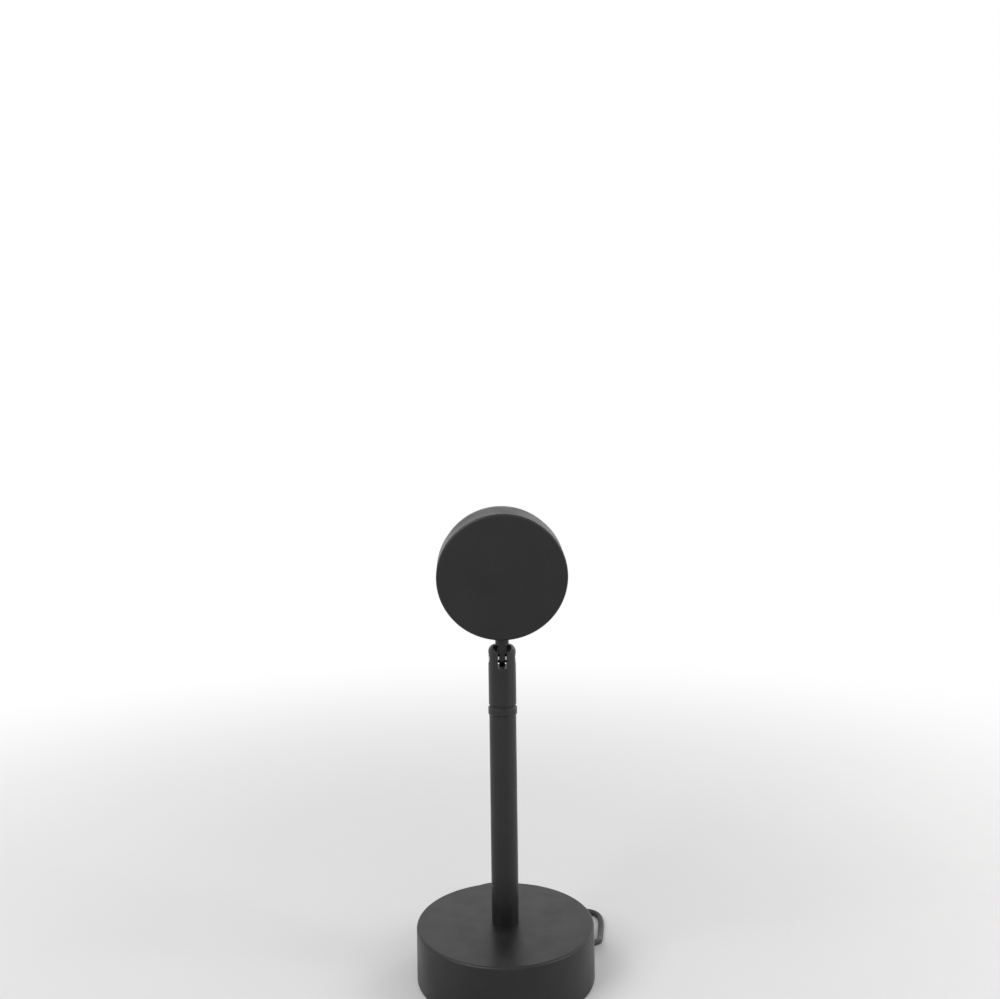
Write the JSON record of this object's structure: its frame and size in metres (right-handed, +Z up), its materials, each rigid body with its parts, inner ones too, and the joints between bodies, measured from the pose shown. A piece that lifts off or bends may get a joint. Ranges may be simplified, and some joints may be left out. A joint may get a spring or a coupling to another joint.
{
  "type": "sunset projection lamp",
  "caption": "Slim table lamp with a drum base, upright pole, swivelling upper sleeve and tilting disc head that projects a round warm glow.",
  "frame": {"origin": "centre of the base on the surface it stands on", "axes": "+Z up along the pole, +Y the way the head points, +X to the right as seen from behind the head"},
  "size_m": [0.115, 0.1561, 0.2675],
  "materials": {
    "coat_black": "satin black powder coat, fine texture",
    "steel_dark": "plain machined steel",
    "steel_bright": "nickel plated",
    "iron_weight": "rough cast",
    "rubber_black": "matt",
    "nylon_black": "matt moulded",
    "cord_black": "soft satin jacket",
    "plastic_black": "fine spark texture",
    "aluminium_raw": "turned",
    "board_white": "white solder mask",
    "emitter_yellow": "phosphor",
    "reflector_white": "white reflector",
    "filter_orange": "coated filter",
    "lens_clear": "polished"
  },
  "bodies": {
    "stand": {"base_shell": "coat_black", "base_weight": "iron_weight", "base_plate": "steel_dark", "foot_pad": "rubber_black", "base_screws": "steel_bright", "cord_grommet": "rubber_black", "lower_tube": "coat_black", "tube_washer": "steel_bright", "tube_nut": "steel_bright", "swivel_post": "steel_dark", "swivel_ring": "coat_black", "thrust_washer": "nylon_black", "cord_lead": "cord_black", "cord_coil": "cord_black", "cord_tail": "cord_black", "plug_body": "plastic_black", "plug_contact": "steel_bright"},
    "upper_pole": {"upper_sleeve": "coat_black", "swivel_pin": "steel_dark", "pivot_screw": "steel_bright", "pivot_nut": "steel_bright", "friction_washers": "steel_bright"},
    "head": {"neck_stem": "coat_black", "neck_nut": "steel_bright", "head_housing": "coat_black", "heat_sink": "aluminium_raw", "head_screws": "steel_bright", "led_board": "board_white", "led_emitter": "emitter_yellow", "reflector": "reflector_white", "colour_filter": "filter_orange", "lens": "lens_clear", "lens_gasket": "rubber_black", "bezel_ring": "coat_black"}
  },
  "joints": [
    {"name": "pole_swivel", "type": "hinge", "parent": "stand", "child": "upper_pole", "pos_m": [0, 0, 0.16], "axis": [0, 0, 1], "range_deg": [-150, 150]},
    {"name": "head_tilt", "type": "hinge", "parent": "upper_pole", "child": "head", "pos_m": [0, 0, 0.1806], "axis": [1, 0, 0], "range_deg": [-103.1, 76.9]}
  ]
}
